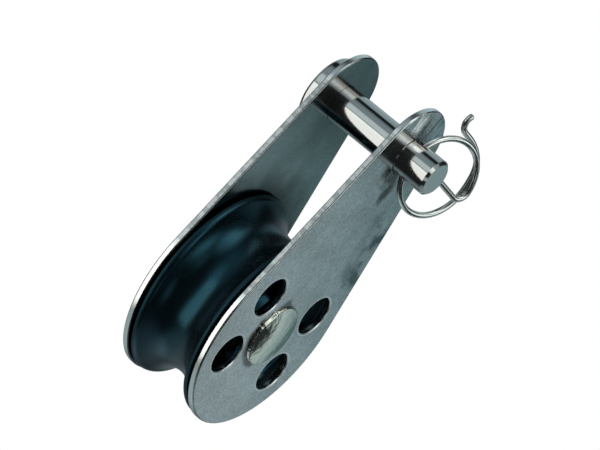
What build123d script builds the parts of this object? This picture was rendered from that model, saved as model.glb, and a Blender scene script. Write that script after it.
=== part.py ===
# Pulley block: two pear-shaped steel cheeks hold a round-grooved nylon sheave on a riveted axle, and a
# clevis pin with a wire ring through its tip closes the jaw at the top.
# Millimetres. +Z is up as the block hangs from its clevis pin, and +Y runs along the pin towards its head.
# The origin lies on the clevis pin's axis, midway between the cheeks.
import os
from math import asin, cos, degrees, hypot, pi, radians, sin, sqrt

from build123d import *

# Frame of the block
axle_drop = 27.6
cheek_gap = 10.5
cheek_thickness = 0.9
cheek_top_radius = 6.75
cheek_overhang = 0.2
cheek_edge_round = 0.22

# Lightening holes: a rectangle of four round the axle
lightening_hole_diameter = 5.5
lightening_hole_spread = 14.3
lightening_hole_rise = 8.7
hole_rim_bevel = 0.12

# Sheave, for rope of 8 mm
sheave_diameter = 26.8
groove_depth = 2.8
groove_radius = 4.5
sheave_side_clearance = 0.35
rim_round = 0.3
hub_diameter = 11.0
web_recess_depth = 0.8
web_recess_wall = 1.2
web_recess_draft = 0.5
bore_bevel = 0.3

# Axle: a rivet through a spacer sleeve that the cheeks are clamped on
rivet_shank_diameter = 4.4
rivet_hole_fit = 0.02
rivet_head_diameter = 8.7
rivet_head_edge = 0.5
rivet_head_taper = 0.22
rivet_head_crown = 0.25
rivet_head_round = 0.2
sleeve_wall = 1.0
sleeve_fit = 0.03
sheave_running_fit = 0.05

# Clevis pin
clevis_pin_diameter = 5.0
clevis_pin_fit = 0.05
pin_head_diameter = 9.8
pin_head_thickness = 1.9
pin_head_round = 0.45
pin_end_play = 0.05
pin_tip_bevel = 0.35
cross_hole_diameter = 1.7
cross_hole_offset = 1.0
cross_hole_to_tip = 3.85
cross_hole_mouth = 0.15

# Wire ring: a straight leg, a sharp bend, one turn and a quarter, and a tail flicked outwards
wire_diameter = 0.8
ring_radius = 5.5
ring_rest_angle = 20.5
strand_gap = 0.1
leg_angle = -11.5
leg_offset = 0.25
leg_overrun = 0.2
bend_radius = 1.4
tail_start_angle = 442.0
tail_lift = 0.7
tail_lift_start_angle = 365.0
tail_straight = 1.0
tail_radius = 1.35
tail_turn = 115.0
wire_end_bevel = 0.15
bend_arcs = 2
coil_arcs = 15

# Sizes that follow from the ones above
sheave_radius = sheave_diameter / 2
sheave_half_width = cheek_gap / 2 - sheave_side_clearance
tread_radius = sheave_radius - groove_depth
groove_centre_radius = tread_radius + groove_radius
cheek_bottom_radius = sheave_radius + cheek_overhang
cheek_outer_face = cheek_gap / 2 + cheek_thickness
rivet_shank_radius = rivet_shank_diameter / 2
sleeve_bore_radius = rivet_shank_radius + sleeve_fit
sleeve_radius = sleeve_bore_radius + sleeve_wall
sheave_bore_radius = sleeve_radius + sheave_running_fit
clevis_pin_radius = clevis_pin_diameter / 2
pin_tip_face = cheek_outer_face + cross_hole_offset + cross_hole_to_tip
wire_radius = wire_diameter / 2
strand_pitch = wire_diameter + strand_gap
ring_sag = ring_radius - sqrt(ring_radius**2 - clevis_pin_radius**2)


def cheek_outline():
    """Pear outline in the XZ plane: two arcs joined by straight tangent flanks."""
    lean = asin((cheek_bottom_radius - cheek_top_radius) / axle_drop)
    low = (cheek_bottom_radius * cos(lean), cheek_bottom_radius * sin(lean) - axle_drop)
    high = (cheek_top_radius * cos(lean), cheek_top_radius * sin(lean))
    low_left = (-low[0], low[1])
    high_left = (-high[0], high[1])
    with BuildSketch(Plane.XZ.offset(cheek_gap / 2)) as outline:
        with BuildLine():
            Line(low, high)
            ThreePointArc(high, (0, cheek_top_radius), high_left)
            Line(high_left, low_left)
            ThreePointArc(low_left, (0, -axle_drop - cheek_bottom_radius), low)
        make_face()
    return outline.sketch


def lightening_hole_centres():
    """Places of the four lightening holes as (x, z)."""
    across = lightening_hole_spread / 2
    along = lightening_hole_rise / 2
    return [(x, z - axle_drop) for x in (-across, across) for z in (-along, along)]


def make_front_cheek():
    """Stamped cheek on the side where the pin's tip and the ring are."""
    plate = extrude(cheek_outline(), cheek_thickness)
    rim_edges = plate.edges().filter_by(Plane.XZ)
    plate = fillet(rim_edges, cheek_edge_round)
    face_height = -cheek_outer_face
    cuts = [(x, z, lightening_hole_diameter / 2) for x, z in lightening_hole_centres()]
    cuts.append((0, 0, clevis_pin_radius + clevis_pin_fit))
    for x, z, radius in cuts:
        drill = Cylinder(radius, 3 * cheek_thickness, rotation=(90, 0, 0))
        plate -= Pos(x, -cheek_gap / 2 - cheek_thickness / 2, z) * drill
        mouth = Cone(radius + hole_rim_bevel, radius, hole_rim_bevel, rotation=(-90, 0, 0))
        plate -= Pos(x, face_height + hole_rim_bevel / 2, z) * mouth
    axle_hole = Cylinder(rivet_shank_radius + rivet_hole_fit, 3 * cheek_thickness, rotation=(90, 0, 0))
    plate -= Pos(0, -cheek_gap / 2 - cheek_thickness / 2, -axle_drop) * axle_hole
    return plate


def make_rear_cheek():
    """The same stamping turned to face the other way."""
    return mirror(make_front_cheek(), Plane.XZ)


def revolved(profile):
    """Turn a (radius, distance along Y) sketch about the Y axis."""
    return revolve(profile, Axis.Y)


def circles_of_radius(solid, radius):
    """The circular edges of a turned solid that have this radius."""
    circles = solid.edges().filter_by(GeomType.CIRCLE)
    return circles.filter_by(lambda edge: abs(edge.radius - radius) < radius / 1000)


def make_sheave():
    """Moulded wheel with a round rope groove, a dished web and a hub face that bears on the cheeks."""
    hub = hub_diameter / 2
    dish = tread_radius - web_recess_wall
    deep = sheave_half_width - web_recess_depth
    lip_radius = sheave_radius - rim_round
    lip_place = sqrt((groove_radius + rim_round) ** 2 - (groove_centre_radius - lip_radius) ** 2)
    share = groove_radius / (groove_radius + rim_round)
    rim_end = (sheave_radius, lip_place)
    groove_start = (groove_centre_radius + (lip_radius - groove_centre_radius) * share, lip_place * share)
    rim_start = (lip_radius, sheave_half_width)
    land_start = (sheave_radius, sheave_half_width - rim_round)
    with BuildSketch() as half:
        with BuildLine():
            Polyline(
                (tread_radius, 0),
                (sheave_bore_radius, 0),
                (sheave_bore_radius, sheave_half_width - bore_bevel),
                (sheave_bore_radius + bore_bevel, sheave_half_width),
                (hub, sheave_half_width),
                (hub + web_recess_draft, deep),
                (dish - web_recess_draft, deep),
                (dish, sheave_half_width),
                rim_start,
            )
            RadiusArc(rim_start, land_start, rim_round)
            Line(land_start, rim_end)
            RadiusArc(rim_end, groove_start, rim_round)
            RadiusArc(groove_start, (tread_radius, 0), -groove_radius)
        make_face()
    wheel = revolved(half.sketch)
    wheel += mirror(wheel, Plane.XZ)
    return Pos(0, 0, -axle_drop) * wheel


def make_axle_sleeve():
    """Spacer tube that the cheeks clamp on, and that the sheave turns on."""
    tube = Cylinder(sleeve_radius, cheek_gap) - Cylinder(sleeve_bore_radius, cheek_gap)
    return Pos(0, 0, -axle_drop) * Rot(90, 0, 0) * tube


def make_axle_rivet():
    """Rivet with two low crowned heads, tapered and rounded at the rim, closed down on the cheeks."""
    head = rivet_head_diameter / 2
    top = head - rivet_head_taper
    edge = cheek_outer_face + rivet_head_edge
    crown = edge + rivet_head_crown
    with BuildSketch() as half:
        with BuildLine():
            Polyline(
                (0, crown), (0, 0), (rivet_shank_radius, 0), (rivet_shank_radius, cheek_outer_face),
                (head, cheek_outer_face), (top, edge),
            )
            crown_radius = (top**2 + rivet_head_crown**2) / (2 * rivet_head_crown)
            RadiusArc((top, edge), (0, crown), -crown_radius)
        make_face()
    rivet = revolved(half.sketch)
    rivet = fillet(circles_of_radius(rivet, top), rivet_head_round)
    rivet += mirror(rivet, Plane.XZ)
    return Pos(0, 0, -axle_drop) * rivet


def make_clevis_pin():
    """Headed pin that drops through both cheeks, with a cross hole for the ring near its tip."""
    seat = cheek_outer_face + pin_end_play
    head = pin_head_diameter / 2
    with BuildSketch() as half:
        with BuildLine():
            Polyline(
                (0, seat + pin_head_thickness),
                (0, -pin_tip_face),
                (clevis_pin_radius - pin_tip_bevel, -pin_tip_face),
                (clevis_pin_radius, pin_tip_bevel - pin_tip_face),
                (clevis_pin_radius, seat),
                (head, seat),
                (head, seat + pin_head_thickness),
                close=True,
            )
        make_face()
    pin = revolved(half.sketch)
    head_rims = circles_of_radius(pin, head)
    pin = fillet(head_rims.sort_by(Axis.Y)[-1], pin_head_round)
    hole_place = -(cheek_outer_face + cross_hole_offset)
    pin -= Pos(0, hole_place, 0) * Cylinder(cross_hole_diameter / 2, 2 * clevis_pin_diameter)
    flare = 2 * cross_hole_mouth
    wide = cross_hole_diameter / 2 + cross_hole_mouth
    mouth = Cone(wide - flare, wide, flare)
    for turn in (0, 180):
        pin -= Pos(0, hole_place, 0) * Rot(turn, 0, 0) * Pos(0, 0, clevis_pin_radius) * mouth
    return pin


def ring_route():
    """Centre line of the wire in the ring's own plane: x away from the pin, y up, z off the cheek."""
    leg = Vector(cos(radians(leg_angle)), sin(radians(leg_angle)), 0)
    beside_leg = Vector(-leg.Y, leg.X, 0)
    inner = ring_radius - bend_radius
    bend_rise = bend_radius - leg_offset
    leg_length = sqrt(inner**2 - bend_rise**2)
    bend_centre = leg * leg_length + beside_leg * bend_rise
    start_angle = leg_angle + degrees(asin(bend_rise / inner))
    bend_from = leg_angle - 90
    bend_turn = start_angle - bend_from
    slope = strand_pitch / (2 * pi * ring_radius)
    before_hole = leg_overrun + leg_length + bend_radius * radians(bend_turn)
    before_hole += ring_radius * radians(180 - start_angle)
    leg_start = leg * -leg_overrun - beside_leg * leg_offset + Vector(0, 0, slope * before_hole)
    leg_drop = Vector(0, 0, slope * (leg_overrun + leg_length))
    route = [Line(leg_start, leg_start + leg * (leg_overrun + leg_length) - leg_drop)]

    def arc_to(x, y):
        start = route[-1] @ 1
        run = hypot(x - start.X, y - start.Y)
        route.append(TangentArc(start, (x, y, start.Z - slope * run), tangent=route[-1] % 1))

    for step in range(1, bend_arcs + 1):
        angle = radians(bend_from + bend_turn * step / bend_arcs)
        arc_to(bend_centre.X + bend_radius * cos(angle), bend_centre.Y + bend_radius * sin(angle))
    for step in range(1, coil_arcs + 1):
        angle = start_angle + (tail_start_angle - start_angle) * step / coil_arcs
        share = max(0, angle - tail_lift_start_angle) / (tail_start_angle - tail_lift_start_angle)
        radius = ring_radius + tail_lift * share * (2 - share)
        arc_to(radius * cos(radians(angle)), radius * sin(radians(angle)))
    ahead = route[-1] % 1
    route.append(Line(route[-1] @ 1, route[-1] @ 1 + ahead * tail_straight))
    outward = Vector(ahead.Y, -ahead.X, 0).normalized()
    turn = radians(tail_turn)
    tail_step = outward * (1 - cos(turn)) + ahead * sin(turn)
    route.append(TangentArc(route[-1] @ 1, route[-1] @ 1 + tail_step * tail_radius, tangent=ahead))
    return Wire(route)


def make_cotter_ring():
    """Bent wire ring threaded through the pin's cross hole, so it hangs beside the front cheek."""
    route = ring_route()
    ring = sweep(Plane(origin=route @ 0, z_dir=route % 0) * Circle(wire_radius), path=route)
    for cut_end in ring.faces().filter_by(GeomType.PLANE):
        ring += extrude(cut_end, wire_end_bevel, taper=45)
    ring = Pos(ring_radius - ring_sag / 2, 0, 0) * ring
    ring = Rot(90, 0, 0) * ring
    ring = Rot(0, 0, -ring_rest_angle) * ring
    return Pos(0, -(cheek_outer_face + cross_hole_offset), 0) * ring


parts = {
    "front_cheek": make_front_cheek,
    "rear_cheek": make_rear_cheek,
    "sheave": make_sheave,
    "axle_sleeve": make_axle_sleeve,
    "axle_rivet": make_axle_rivet,
    "clevis_pin": make_clevis_pin,
    "cotter_ring": make_cotter_ring,
}

os.makedirs("parts", exist_ok=True)
for name, maker in parts.items():
    export_step(maker(), os.path.join("parts", name + ".step"))
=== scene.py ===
# Pulley block of stainless steel with a black plastic wheel, seen from beside its front cheek.
# Metres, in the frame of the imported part: +Z up as the block hangs, +Y towards the clevis pin's head.
from math import atan2, copysign, cos, degrees, pi, radians, sin

import bmesh
import bpy
from mathutils import Matrix, Vector


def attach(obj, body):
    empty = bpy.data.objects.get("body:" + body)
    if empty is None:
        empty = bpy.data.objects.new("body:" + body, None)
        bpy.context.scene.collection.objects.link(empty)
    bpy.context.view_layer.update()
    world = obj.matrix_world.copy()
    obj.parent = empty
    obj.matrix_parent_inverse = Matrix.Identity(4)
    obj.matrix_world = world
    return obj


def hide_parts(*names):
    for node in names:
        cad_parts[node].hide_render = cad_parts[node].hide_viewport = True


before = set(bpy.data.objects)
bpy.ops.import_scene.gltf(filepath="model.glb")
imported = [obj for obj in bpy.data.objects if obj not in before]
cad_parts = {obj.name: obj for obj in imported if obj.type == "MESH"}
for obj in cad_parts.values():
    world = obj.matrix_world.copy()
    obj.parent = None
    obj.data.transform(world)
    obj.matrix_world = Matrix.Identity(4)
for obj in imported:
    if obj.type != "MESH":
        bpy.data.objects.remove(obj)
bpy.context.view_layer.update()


# Camera: a long lens, a little above the block and well round to its side. The photograph has the block
# lying over to the right, so the camera is rolled. Its axis passes through aim_place.
heading = radians(66.38)
lowering = radians(5.59)
roll = radians(37.2)
aim_place = Vector((-0.00125, -0.0008, -0.01476))
camera_distance = 0.75065
film_width = 36.0
lens_length = 367.07
turn = Matrix.Rotation(-heading, 4, "Z")
turn = turn @ Matrix.Rotation(radians(90) - lowering, 4, "X") @ Matrix.Rotation(roll, 4, "Z")
camera_data = bpy.data.cameras.new("camera")
camera_data.sensor_width = film_width
camera_data.lens = lens_length
camera = bpy.data.objects.new("camera", camera_data)
camera.matrix_world = Matrix.Translation(aim_place) @ turn @ Matrix.Translation((0, 0, camera_distance))
bpy.context.collection.objects.link(camera)
bpy.context.scene.camera = camera
bpy.context.scene.view_settings.view_transform = "Standard"


# Studio: a near-black room with soft lights overhead, a dark gap between them, a dim light behind the
# block, pale patches to its right and a pale table below it, with a lamp panel on either side.
# Directions are (right, up, towards the camera), with the camera held as it is rolled.
room_dark = (0.018, 0.019, 0.019)
# Each layer has a direction, the cosines where it starts and is full, a colour, and how it is mixed in.
room_layers = (
    ((-0.30, 0.80, 0.52), 0.72, 0.95, (0.15, 0.19, 0.20), "ADD"),
    ((0.10, 0.97, 0.24), 0.84, 0.97, (0.06, 0.08, 0.09), "ADD"),
    ((0.364, 0.729, -0.58), 0.88, 0.95, (0.28, 0.38, 0.40), "ADD"),
    ((0.0, 0.1, -0.99), 0.62, 1.0, (0.22, 0.26, 0.28), "ADD"),
    ((-0.385, 0.66, 0.645), 0.95, 0.99, (0.43, 0.48, 0.48), "ADD"),
    ((-0.59, 0.71, -0.37), 0.90, 0.99, (0.34, 0.37, 0.38), "ADD"),
    ((0.955, -0.29, 0.0), 0.93, 0.985, (0.9, 1.0, 1.0), "ADD"),
    ((0.80, -0.46, 0.39), 0.97, 0.99, (0.9, 0.95, 0.9), "ADD"),
    ((0.74, -0.20, 0.64), 0.97, 0.99, (0.9, 0.95, 0.9), "ADD"),
    ((0.44, -0.04, 0.90), 0.97, 0.99, (0.3, 0.32, 0.3), "ADD"),
    ((0.27, -0.76, 0.59), 0.985, 0.995, (0.4, 0.43, 0.4), "ADD"),
    ((0.90, 0.02, 0.43), 0.90, 0.98, (0.30, 0.34, 0.34), "ADD"),
    ((0.66, 0.50, 0.55), 0.90, 0.99, (0.75, 0.80, 0.80), "ADD"),
    ((-0.70, -0.58, -0.41), 0.78, 0.95, (0.24, 0.31, 0.31), "ADD"),
    ((-0.05, -0.93, -0.36), 0.82, 0.96, (0.19, 0.23, 0.24), "ADD"),
    ((-0.28, -0.885, -0.37), 0.93, 0.985, (0.12, 0.14, 0.14), "ADD"),
    ((0.245, 0.969, -0.013), 0.982, 0.994, (0.15, 0.15, 0.15), "MULTIPLY"),
)


def from_camera(direction):
    """Turn a (right, up, towards) direction into one of the part's frame."""
    return (turn.to_3x3() @ Vector(direction)).normalized()


def feed(tree, socket, given):
    """Link a socket to the one given, or set it to the number, vector or colour given."""
    if isinstance(given, bpy.types.NodeSocket):
        tree.links.new(given, socket)
    elif given is not None:
        socket.default_value = (*given, 1) if socket.type == "RGBA" else given


def vector(tree, operation, first, second=None):
    """One step of arithmetic on vectors, each of them linked or constant."""
    step = tree.nodes.new("ShaderNodeVectorMath")
    step.operation = operation
    feed(tree, step.inputs[0], first)
    feed(tree, step.inputs[1], second)
    return step.outputs["Value" if operation in ("LENGTH", "DOT_PRODUCT") else "Vector"]


def stepped(tree, value, low, high, start=0.0, end=1.0, way="LINEAR"):
    """Climb from start to end as the value goes from low to high."""
    climb = tree.nodes.new("ShaderNodeMapRange")
    climb.interpolation_type = way
    for name, given in (("From Min", low), ("From Max", high), ("To Min", start), ("To Max", end)):
        climb.inputs[name].default_value = given
    tree.links.new(value, climb.inputs["Value"])
    return climb.outputs["Result"]


def mixed(tree, amount, first, second, way=None):
    """Go from the first to the second by an amount: two colours in the way named, or else two numbers."""
    mix = tree.nodes.new("ShaderNodeMix")
    ports = (0, 2, 3)
    if way:
        mix.data_type = "RGBA"
        mix.blend_type = way
        ports = (0, 6, 7)
    for port, given in zip(ports, (amount, first, second)):
        feed(tree, mix.inputs[port], given)
    return mix.outputs[2 if way else 0]


def white_to_camera(tree, kind, other, output):
    """Let the camera see plain white, and everything else the other shader."""
    white = tree.nodes.new(kind)
    white.inputs["Color"].default_value = (1, 1, 1, 1)
    choose = tree.nodes.new("ShaderNodeMixShader")
    tree.links.new(tree.nodes.new("ShaderNodeLightPath").outputs["Is Camera Ray"], choose.inputs["Fac"])
    tree.links.new(other, choose.inputs[1])
    tree.links.new(white.outputs[0], choose.inputs[2])
    tree.links.new(choose.outputs["Shader"], tree.nodes[output].inputs["Surface"])


room = bpy.data.worlds.new("studio")
bpy.context.scene.world = room
room.use_nodes = True
tree = room.node_tree
surroundings = tree.nodes["Background"]
look = tree.nodes.new("ShaderNodeTexCoord").outputs["Generated"]
total = room_dark
for direction, start, full, colour, way in room_layers:
    along = vector(tree, "DOT_PRODUCT", look, from_camera(direction))
    total = mixed(tree, stepped(tree, along, start, full, way="SMOOTHSTEP"), total, colour, way)
tree.links.new(total, surroundings.inputs["Color"])
white_to_camera(tree, "ShaderNodeBackground", surroundings.outputs["Background"], "World Output")


def panel(name, direction, distance, width, height, brightness, colour):
    """A lamp panel that faces the block, with a given brightness of its face."""
    lamp = bpy.data.lights.new(name, "AREA")
    lamp.shape = "RECTANGLE"
    lamp.size = width
    lamp.size_y = height
    lamp.energy = brightness * pi * width * height
    lamp.color = colour
    holder = bpy.data.objects.new(name, lamp)
    facing = from_camera(direction)
    holder.matrix_world = facing.to_track_quat("Z", "Y").to_matrix().to_4x4()
    holder.matrix_world.translation = aim_place + facing * distance
    bpy.context.collection.objects.link(holder)


panel(
    "key_panel", direction=(-0.855, 0.07, 0.515), distance=0.16, width=0.10, height=0.2,
    brightness=1.2, colour=(0.98, 1.0, 0.95),
)
panel(
    "fill_panel", direction=(0.84, 0.50, 0.25), distance=0.6, width=0.52, height=0.28,
    brightness=0.75, colour=(1.0, 0.96, 0.84),
)

# White paper under the block, which the camera sees as pure white.
floor_height = -0.25
floor_reach = 3.0
paper_colour = (0.82, 0.83, 0.84)


def piece_of(name, shape, material):
    """Make an object of a finished shape and its material."""
    mesh = bpy.data.meshes.new(name)
    shape.to_mesh(mesh)
    shape.free()
    mesh.materials.append(material)
    piece = bpy.data.objects.new(name, mesh)
    bpy.context.collection.objects.link(piece)
    return piece


paper = bpy.data.materials.new("white_paper")
paper.use_nodes = True
tree = paper.node_tree
surface = tree.nodes["Principled BSDF"]
surface.inputs["Base Color"].default_value = (*paper_colour, 1)
white_to_camera(tree, "ShaderNodeEmission", surface.outputs["BSDF"], "Material Output")
shape = bmesh.new()
bmesh.ops.create_grid(shape, x_segments=1, y_segments=1, size=floor_reach)
bmesh.ops.translate(shape, verts=shape.verts, vec=(0, 0, floor_height))
floor = piece_of("floor", shape, paper)
floor.visible_glossy = False

# Card beside the front cheek, seen only where the steel mirrors it, at right angles to the mirrored line of
# sight. It is pale where the front cheek's outer face mirrors it, fades unevenly to dark where the rear
# cheek's inner face does, and starts with a dark end that no flat face mirrors.
card_reach = 0.045
card_distance = 0.07
fade_direction = (0.96, -0.28, 0)
fade_start = -0.044
fade_end = 0.004
fade_steps = (
    (0.27, (0.015, 0.02, 0.02)),
    (0.37, (0.36, 0.43, 0.43)),
    (0.46, (0.43, 0.515, 0.54)),
    (0.64, (0.30, 0.39, 0.405)),
    (0.80, (0.23, 0.325, 0.34)),
    (0.91, (0.08, 0.143, 0.148)),
)
crinkle_size = 0.003
crinkle_shift = 0.006


def noise(tree, place, size, detail=2.0, roughness=0.5):
    """A cloudy pattern from 0 to 1, with lumps of a given size."""
    pattern = tree.nodes.new("ShaderNodeTexNoise")
    pattern.inputs["Scale"].default_value = 1 / size
    pattern.inputs["Detail"].default_value = detail
    pattern.inputs["Roughness"].default_value = roughness
    tree.links.new(place, pattern.inputs["Vector"])
    return pattern.outputs["Fac"]


def number(tree, operation, first, second=None, third=None):
    """One step of arithmetic on numbers, each of them linked or constant."""
    step = tree.nodes.new("ShaderNodeMath")
    step.operation = operation
    for port, given in enumerate((first, second, third)):
        feed(tree, step.inputs[port], given)
    return step.outputs["Value"]


mirrored = Matrix.Scale(-1, 4, (0, 1, 0)) @ turn
card_away = -(mirrored.to_3x3() @ Vector((0, 0, 1)))
card_across = mirrored.to_3x3() @ Vector(fade_direction)
card_paint = bpy.data.materials.new("fading_card")
card_paint.use_nodes = True
tree = card_paint.node_tree
tree.nodes.remove(tree.nodes["Principled BSDF"])
place = tree.nodes.new("ShaderNodeTexCoord").outputs["Object"]
along = vector(tree, "DOT_PRODUCT", place, card_across)
shifted = number(tree, "MULTIPLY_ADD", noise(tree, place, crinkle_size), crinkle_shift, along)
tone = tree.nodes.new("ShaderNodeValToRGB")
while len(tone.color_ramp.elements) < len(fade_steps):
    tone.color_ramp.elements.new(1.0)
for step, (position, colour) in zip(tone.color_ramp.elements, fade_steps):
    step.position = position
    step.color = (*colour, 1)
fade = stepped(tree, shifted, fade_start + crinkle_shift / 2, fade_end + crinkle_shift / 2)
tree.links.new(fade, tone.inputs["Fac"])
glow = tree.nodes.new("ShaderNodeEmission")
tree.links.new(tone.outputs["Color"], glow.inputs["Color"])
tree.links.new(glow.outputs["Emission"], tree.nodes["Material Output"].inputs["Surface"])
shape = bmesh.new()
bmesh.ops.create_grid(shape, x_segments=1, y_segments=1, size=card_reach)
bmesh.ops.transform(shape, matrix=card_away.to_track_quat("Z", "Y").to_matrix().to_4x4(), verts=shape.verts)
bmesh.ops.translate(shape, verts=shape.verts, vec=aim_place + card_away * card_distance)
side_card = piece_of("side_card", shape, card_paint)
side_card.visible_camera = False
side_card.visible_diffuse = False
side_card.visible_shadow = False


# Cheeks: two pear-shaped stampings of 0.9 mm stainless sheet, left with the mill's satin face. The press
# tore their edges along the straight flanks and left them smoother round the ends. The edges are painted
# pale as a painted highlight, with painted white glints in flecks on the torn flanks. They are clamped on
# the axle's sleeve by the rivet.
cheek_colour = (0.64, 0.672, 0.683)
cheek_roughness = 0.2
cheek_contrast = 0.2
cheek_grain = 0.00025
cheek_relief = 0.000002
cheek_patch = 0.004
cheek_wave = 0.00001
axle_place = (0, 0, -0.0276)
inner_face_place = 0.00525
outer_face_place = 0.00615
face_margin = 0.00015
inner_blend = 0.0001
front_blend = 0.0002
# How every steel's patches differ: how much more than its grain in tone, and how much in roughness.
patch_darkness = 1.2
roughness_spread = 0.2
# Each range has the value where something starts and the one where it is full.
steel_range = (0.3, 0.7)
outer_range = (0.010, 0.011)
edge_tilt_range = (0.5, 0.2)
flank_tilt_range = (0.04, 0.01)
flat_tilt_range = (0.3, 0.5)
# Edges are painted paler than the face as a painted highlight, and the torn flanks' flecks painted white as
# glints.
edge_highlight_colour = (0.97, 0.99, 0.99)
edge_roughness = 0.26
flank_lean = 0.248
flank_from_pin = 0.00675
flank_colour = (0.60, 0.64, 0.65)
flank_roughness = 0.42
fleck_glint_colour = (1.0, 1.0, 1.0)
fleck_pitch = 0.0009
fleck_stretch = 0.35
fleck_raggedness = 0.65
fleck_range = (0.43, 0.53)
fleck_relief = 0.00001
# Painted dark mottled reflections along the front cheek's flank.
dark_reflection_tone = (0.22, 0.30, 0.31)
dark_reflection_depth = 0.0065
dark_reflection_margin = 0.002
dark_reflection_size = 0.003
dark_reflection_range = (0.42, 0.60)
dark_reflection_from = -0.0055
dark_reflection_to = -0.0215
dark_reflection_fade = 0.003
# Painted streaky reflections of the ring at the front cheek's tip.
streak_reflection_tones = (0.6, 2.2)
streak_reflection_width = 0.0009
streak_reflection_stretch = 0.15
streak_reflection_range = (0.38, 0.62)
streak_reflection_from = 0.0028
streak_reflection_fade = 0.0015
mark_raggedness = 0.003
# Each mark has a centre, the weights of its axes, the distances where it is full and ends, and a tone.
# Inner patches: a painted shade and reflection of the sheave round its rim, and a darker patch round the
# pin.
inner_shade_patches = (
    (axle_place, (1, 0, 1), 0.0130, 0.0185, 0.12),
    ((0, 0, 0), (1, 0, 1), 0.0030, 0.0115, 0.60),
)
# Front patches: two darker spots below the pin, and a painted shadow and reflection of the rivet's head.
front_shade_and_spots = (
    ((0.0003, 0, -0.0033), (1, 0, 1), 0.0009, 0.0016, 0.20),
    ((0.0015, 0, -0.0050), (1, 0, 0.8), 0.0009, 0.0016, 0.20),
    ((-0.0007, 0, -0.0278), (1, 0, 1), 0.0043, 0.0049, 0.30),
)
hole_place = (0.00715, 0, 0.00435)
hole_radius = 0.00275
# Painted pale highlights round the lightening holes' rims.
hole_rim_highlight_colour = (1.0, 1.0, 1.0)
hole_rim_roughness = 0.3
hole_rim_width = 0.00026
hole_rim_fade = 0.00004


def product(tree, first, *others):
    """The product of several values."""
    for other in others:
        first = number(tree, "MULTIPLY", first, other)
    return first


def from_line(tree, place, centre, weights=(1, 0, 1)):
    """How far a place is from the line through a centre along the axle, with its axes weighed."""
    level = vector(tree, "MULTIPLY", vector(tree, "SUBTRACT", place, centre), weights)
    return vector(tree, "LENGTH", level)


def split(tree, given):
    """The X, Y and Z of a vector."""
    parts = tree.nodes.new("ShaderNodeSeparateXYZ")
    tree.links.new(given, parts.inputs["Vector"])
    return parts.outputs


def bumped(tree, height, depth, below=None, strength=None):
    """The normal of a relief of a given depth, laid over another relief if there is one."""
    relief = tree.nodes.new("ShaderNodeBump")
    relief.inputs["Distance"].default_value = depth
    feed(tree, relief.inputs["Height"], height)
    feed(tree, relief.inputs["Normal"], below)
    feed(tree, relief.inputs["Strength"], strength)
    return relief.outputs["Normal"]


def steel(name, colour, roughness, grain, patch, relief=0.0, wave=0.0, contrast=0.1):
    """Bare stainless steel: colour, roughness, the sizes of its fine grain and of its duller patches, how
    deep its grain is and its skin waves, and how far its speckles differ."""
    metal = bpy.data.materials.new(name)
    metal.use_nodes = True
    tree = metal.node_tree
    surface = tree.nodes["Principled BSDF"]
    surface.inputs["Metallic"].default_value = 1.0
    place = tree.nodes.new("ShaderNodeTexCoord").outputs["Object"]
    patches = noise(tree, place, patch, detail=4)
    fine = noise(tree, place, grain, detail=1)
    dull_colour = [channel * (1 - patch_darkness * contrast) for channel in colour]
    tone = mixed(tree, stepped(tree, patches, *steel_range), dull_colour, colour, "MIX")
    speckle = stepped(tree, fine, *steel_range, 1 - contrast, 1 + contrast)
    tree.links.new(mixed(tree, 1.0, tone, speckle, "MULTIPLY"), surface.inputs["Base Color"])
    shinier = roughness * (1 - roughness_spread)
    duller = roughness * (1 + roughness_spread)
    tree.links.new(stepped(tree, patches, 0, 1, shinier, duller), surface.inputs["Roughness"])
    waves = bumped(tree, noise(tree, place, patch, detail=1), wave)
    tree.links.new(bumped(tree, fine, relief, waves), surface.inputs["Normal"])
    return metal


def dress(node, material):
    """Give a node of the frame its material."""
    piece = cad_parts[node]
    piece.data.materials.clear()
    piece.data.materials.append(material)


cheek_steel = steel(
    "cheek_steel", cheek_colour, cheek_roughness, cheek_grain, cheek_patch,
    relief=cheek_relief, wave=cheek_wave, contrast=cheek_contrast,
)
tree = cheek_steel.node_tree
surface = tree.nodes["Principled BSDF"]
face_colour = surface.inputs["Base Color"].links[0].from_socket
face_roughness = surface.inputs["Roughness"].links[0].from_socket
face_normal = surface.inputs["Normal"].links[0].from_socket
coordinates = tree.nodes.new("ShaderNodeTexCoord")
place = coordinates.outputs["Object"]
facing = coordinates.outputs["Normal"]
place_parts = split(tree, place)
facing_parts = split(tree, facing)

# Where the surface is an outer edge, a torn flank, an inner face or the front one.
across = number(tree, "ABSOLUTE", facing_parts["Y"])
sideways = number(tree, "ABSOLUTE", number(tree, "SUBTRACT", facing_parts["Z"], flank_lean))
from_axle = vector(tree, "SUBTRACT", place, axle_place)
outer = stepped(tree, vector(tree, "DOT_PRODUCT", from_axle, facing), *outer_range)
on_edge = product(tree, outer, stepped(tree, across, *edge_tilt_range))
on_flank = product(tree, on_edge, stepped(tree, sideways, *flank_tilt_range))
inner_end = inner_face_place + face_margin
inner_face = stepped(tree, number(tree, "ABSOLUTE", place_parts["Y"]), inner_end + inner_blend, inner_end)
front_end = face_margin - outer_face_place
front_face = stepped(tree, place_parts["Y"], front_end + front_blend, front_end)

# Flecks on the torn flanks: a torn relief, with painted white glints on it.
stretched = vector(tree, "MULTIPLY", place, (1 / fleck_pitch, fleck_stretch / fleck_pitch, 1 / fleck_pitch))
flecks = noise(tree, stretched, 1, detail=4, roughness=fleck_raggedness)
torn_flank_glint_tone = mixed(tree, stepped(tree, flecks, *fleck_range), flank_colour, fleck_glint_colour, "MIX")
edge_highlight_tone = mixed(tree, on_flank, edge_highlight_colour, torn_flank_glint_tone, "MIX")

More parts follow.
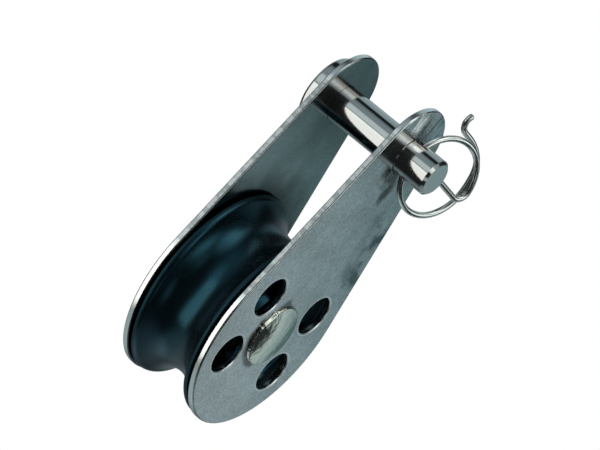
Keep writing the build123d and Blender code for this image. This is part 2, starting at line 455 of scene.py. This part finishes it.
# Painted dark mottled reflections on the front cheek's outer face, along its flank.
inwards = vector(tree, "DOT_PRODUCT", place, ((1 - flank_lean**2) ** 0.5, 0, flank_lean))
blots = noise(tree, place, dark_reflection_size, detail=3)
dark_reflections = product(
    tree,
    stepped(tree, inwards, flank_from_pin - dark_reflection_depth, flank_from_pin - dark_reflection_margin),
    stepped(tree, blots, *dark_reflection_range),
    stepped(tree, place_parts["Z"], dark_reflection_to, dark_reflection_to + dark_reflection_fade),
    stepped(tree, place_parts["Z"], dark_reflection_from, dark_reflection_from - dark_reflection_fade),
    front_face,
)
tone = mixed(tree, dark_reflections, face_colour, dark_reflection_tone, "MULTIPLY")

# Painted streaky reflections of the ring, darker and brighter, up and down its tip.
stretched = vector(tree, "MULTIPLY", place, (1 / streak_reflection_width, 0, streak_reflection_stretch / streak_reflection_width))
reflected_streaks = stepped(tree, noise(tree, stretched, 1, detail=1), *streak_reflection_range, *streak_reflection_tones)
streaked_tip = product(tree, stepped(tree, place_parts["Z"], streak_reflection_from, streak_reflection_from + streak_reflection_fade), front_face)
tone = mixed(tree, streaked_tip, tone, reflected_streaks, "MULTIPLY")

# Painted shade and reflection of the black sheave on the inner faces round it, a darker patch round the pin
# there, darker spots on the front cheek's outer face below the pin, and a painted shadow and reflection of
# the rivet's head.
for area, dark_patches in ((inner_face, inner_shade_patches), (front_face, front_shade_and_spots)):
    for centre, weights, full, end, darkness in dark_patches:
        away = from_line(tree, place, centre, weights)
        ragged = number(tree, "MULTIPLY_ADD", blots, mark_raggedness, away)
        darkening = stepped(tree, ragged, end + mark_raggedness / 2, full + mark_raggedness / 2)
        tone = mixed(tree, product(tree, darkening, area), tone, (darkness, darkness, darkness), "MULTIPLY")

# Painted pale highlights round the lightening holes' rims, which are rougher there too.
hole_distance = from_line(tree, vector(tree, "ABSOLUTE", from_axle), hole_place)
hole_rim_end = hole_radius + hole_rim_width
near_hole = stepped(tree, hole_distance, hole_rim_end + hole_rim_fade, hole_rim_end)
on_hole_rim = product(tree, near_hole, stepped(tree, across, *flat_tilt_range))
tone = mixed(tree, on_hole_rim, tone, hole_rim_highlight_colour, "MIX")

tree.links.new(mixed(tree, on_edge, tone, edge_highlight_tone, "MIX"), surface.inputs["Base Color"])
flat_roughness = mixed(tree, on_hole_rim, face_roughness, hole_rim_roughness)
torn_roughness = mixed(tree, on_flank, edge_roughness, flank_roughness)
tree.links.new(mixed(tree, on_edge, flat_roughness, torn_roughness), surface.inputs["Roughness"])
tree.links.new(bumped(tree, flecks, fleck_relief, face_normal, on_flank), surface.inputs["Normal"])
dress("front_cheek", cheek_steel)
dress("rear_cheek", cheek_steel)


# Sheave: one moulded wheel of black nylon with a satin skin, bluish where it mirrors a lamp, its flanges
# rolled over softly into the rope groove. It turns on the axle's sleeve, between the cheeks.
wheel_radius = 0.0134
half_width = 0.0049
tread_radius = 0.0106
groove_radius = 0.0045
lip_round = 0.0009
rim_round = 0.00015
hub_radius = 0.0055
dish_radius = 0.0094
recess_floor = 0.0041
recess_draft = 0.0005
bore_radius = 0.00328
bore_bevel = 0.0003
wheel_steps = 256
groove_steps = 28
lip_steps = 12
rim_corner_steps = 4
crease_angle = radians(30)
nylon_colour = (0.003, 0.004, 0.005)
nylon_shine = (0.18, 0.66, 0.93)
nylon_refraction = 1.55
nylon_gloss = 1.0
nylon_roughness = 0.27
nylon_spread = 0.15
nylon_grain = 0.0002
nylon_relief = 0.0000004
rim_dullness = 0.55
rim_radius = 0.0133
rim_blend = 0.0001
black_nylon = bpy.data.materials.new("black_nylon")
black_nylon.use_nodes = True
tree = black_nylon.node_tree
surface = tree.nodes["Principled BSDF"]
surface.inputs["Base Color"].default_value = (*nylon_colour, 1)
surface.inputs["IOR"].default_value = nylon_refraction
surface.inputs["Specular IOR Level"].default_value = nylon_gloss
surface.inputs["Specular Tint"].default_value = (*nylon_shine, 1)
place = tree.nodes.new("ShaderNodeTexCoord").outputs["Object"]
grain = noise(tree, place, nylon_grain)
satin = stepped(
    tree, grain, 0, 1, nylon_roughness * (1 - nylon_spread), nylon_roughness * (1 + nylon_spread)
)
on_rim = stepped(tree, from_line(tree, place, axle_place), rim_radius, rim_radius + rim_blend)
tree.links.new(mixed(tree, on_rim, satin, rim_dullness), surface.inputs["Roughness"])
tree.links.new(bumped(tree, grain, nylon_relief), surface.inputs["Normal"])


def arc_points(centre, radius, start, end, count):
    """Points (distance from the axle, place along it) on an arc between two angles in degrees."""
    angles = [radians(start + (end - start) * step / count) for step in range(count + 1)]
    return [(centre[0] + radius * cos(angle), centre[1] + radius * sin(angle)) for angle in angles]


def turned(outline, steps, closed):
    """Spin an outline of (distance from the axle, place along it) points about the axle."""
    shape = bmesh.new()
    corners = [shape.verts.new((distance, along, axle_place[2])) for distance, along in outline]
    following = corners[1:] + corners[:1] if closed else corners[1:]
    sides = [shape.edges.new(pair) for pair in zip(corners, following)]
    bmesh.ops.spin(
        shape, geom=corners + sides, cent=axle_place, axis=(0, 1, 0), angle=2 * pi, steps=steps,
        use_merge=True,
    )
    return shape


groove_centre = tread_radius + groove_radius
lip_place = ((groove_radius + lip_round) ** 2 - (groove_centre - wheel_radius + lip_round) ** 2) ** 0.5
lip_lean = degrees(atan2(lip_place, groove_centre - wheel_radius + lip_round))
outline = arc_points((groove_centre, 0), groove_radius, 180, 180 - lip_lean, groove_steps)
outline += arc_points((wheel_radius - lip_round, lip_place), lip_round, -lip_lean, 0, lip_steps)[1:]
rim_corner = (wheel_radius - rim_round, half_width - rim_round)
outline += arc_points(rim_corner, rim_round, 0, 90, rim_corner_steps)
outline += [
    (dish_radius, half_width), (dish_radius - recess_draft, recess_floor),
    (hub_radius + recess_draft, recess_floor), (hub_radius, half_width),
    (bore_radius + bore_bevel, half_width), (bore_radius, half_width - bore_bevel),
]
outline += [(distance, -along) for distance, along in reversed(outline[1:])]
shape = turned(outline, wheel_steps, closed=True)
bmesh.ops.recalc_face_normals(shape, faces=shape.faces)
wheel = piece_of("grooved_wheel", shape, black_nylon)
wheel.data.shade_smooth()
wheel.data.set_sharp_from_angle(angle=crease_angle)
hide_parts("sheave")
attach(wheel, "sheave")


# Axle sleeve: a plain steel tube inside the sheave, hidden but for its ends. The rivet clamps the cheeks
# on it, so that they don't pinch the wheel.
sleeve_colour = (0.58, 0.57, 0.54)
sleeve_steel = steel("sleeve_steel", sleeve_colour, roughness=0.3, grain=0.0003, patch=0.002)
dress("axle_sleeve", sleeve_steel)


# Axle rivet: soft steel, its two ends hammered down on the cheeks into low crowned heads. The hammer left
# the crown lumpy and the rim chattered, with two nicks that stand either side of a smooth stretch.
rivet_colour = (0.83, 0.85, 0.76)
shank_radius = 0.0022
head_height = 0.00075
# A head's rows from its rim in to its crown: distances from the axis and heights over the cheek.
head_profile = (
    (0.00435, 0.0), (0.00434, 0.00008), (0.00431, 0.00017), (0.00427, 0.00025), (0.00422, 0.00031),
    (0.00414, 0.00034), (0.00395, 0.00036), (0.0035, 0.00044), (0.0028, 0.00055), (0.0019, 0.00066),
    (0.00095, 0.00073),
)
smooth_profile = (
    (0.00435, 0.0), (0.00434, 0.00006), (0.00431, 0.00011), (0.00424, 0.00018), (0.00412, 0.00030),
    (0.00400, 0.00041), (0.00386, 0.00043), (0.0035, 0.00046), (0.0028, 0.00055), (0.0019, 0.00066),
    (0.00095, 0.00073),
)
first_unworn_row = 7
rim_steps = 240
micrometre = 0.000001
nick_places = (radians(138), radians(172))
nick_width = radians(3.0)
nick_depth = 0.00012
# Chatter is a coarse beat whose pace drifts round the rim, with a finer one added.
chatter_depth = 0.00003
coarse_count = 41
coarse_drift = 1.3
drift_count = 5
fine_count = 67
fine_share = 0.6
fine_start = 0.7


def rim_wear(angle):
    """How far the rim is pushed in at an angle: two nicks, and chatter everywhere but between them."""
    push = 0.0
    for nick in nick_places:
        away = abs((angle - nick + pi) % (2 * pi) - pi) / nick_width
        push += nick_depth * max(0.0, 1 - away)
    if not nick_places[0] < angle < nick_places[1]:
        coarse = sin(coarse_count * angle + coarse_drift * sin(drift_count * angle))
        fine = fine_share * sin(fine_count * angle + fine_start)
        push += chatter_depth * max(0.0, coarse + fine) / (1 + fine_share)
    return push


half_outline = [(0.0, head_height), *reversed(head_profile), (shank_radius, 0.0)]
outline = [(distance, -outer_face_place - height) for distance, height in half_outline]
outline += [(distance, -along) for distance, along in reversed(outline)]
shape = turned(outline, rim_steps, closed=False)
bmesh.ops.remove_doubles(shape, verts=shape.verts, dist=0.1 * micrometre)

# Wear on both heads. A vertex's height tells its row, and the rim's foot and the crown's middle stay.
rows = {round(height / micrometre): row for row, (distance, height) in enumerate(head_profile)}
for vertex in shape.verts:
    row = rows.get(round((abs(vertex.co.y) - outer_face_place) / micrometre))
    if not row:
        continue
    step = round(atan2(vertex.co.z - axle_place[2], vertex.co.x) * rim_steps / (2 * pi)) % rim_steps
    angle = 2 * pi * step / rim_steps
    profile = smooth_profile if nick_places[0] < angle < nick_places[1] else head_profile
    distance, height = profile[row]
    if row < first_unworn_row:
        distance -= rim_wear(angle)
    along = copysign(outer_face_place + height, vertex.co.y)
    vertex.co = (distance * cos(angle), along, axle_place[2] + distance * sin(angle))
bmesh.ops.recalc_face_normals(shape, faces=shape.faces)
rivet_steel = steel(
    "rivet_steel", rivet_colour, roughness=0.14, grain=0.0004, patch=0.0012, relief=0.00001, wave=0.00005
)
rivet = piece_of("hammered_rivet", shape, rivet_steel)
rivet.data.shade_smooth()
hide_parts("axle_rivet")
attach(rivet, "frame")


# Clevis pin: turned and polished stainless, headed at its far end and bevelled at its tip. It drops through
# both cheeks and the ring through its cross hole keeps it there.
pin_colour = (0.66, 0.665, 0.66)
pin_steel = steel("pin_steel", pin_colour, roughness=0.11, grain=0.0003, patch=0.003, contrast=0.02)
dress("clevis_pin", pin_steel)


# Cotter ring: spring wire of 0.8 mm, drawn bright and coiled a turn and a quarter. It is threaded through
# the pin's cross hole, where its own spring keeps it.
ring_colour = (0.92, 0.93, 0.91)
ring_steel = steel("ring_steel", ring_colour, roughness=0.2, grain=0.0006, patch=0.002, contrast=0.02)
dress("cotter_ring", ring_steel)
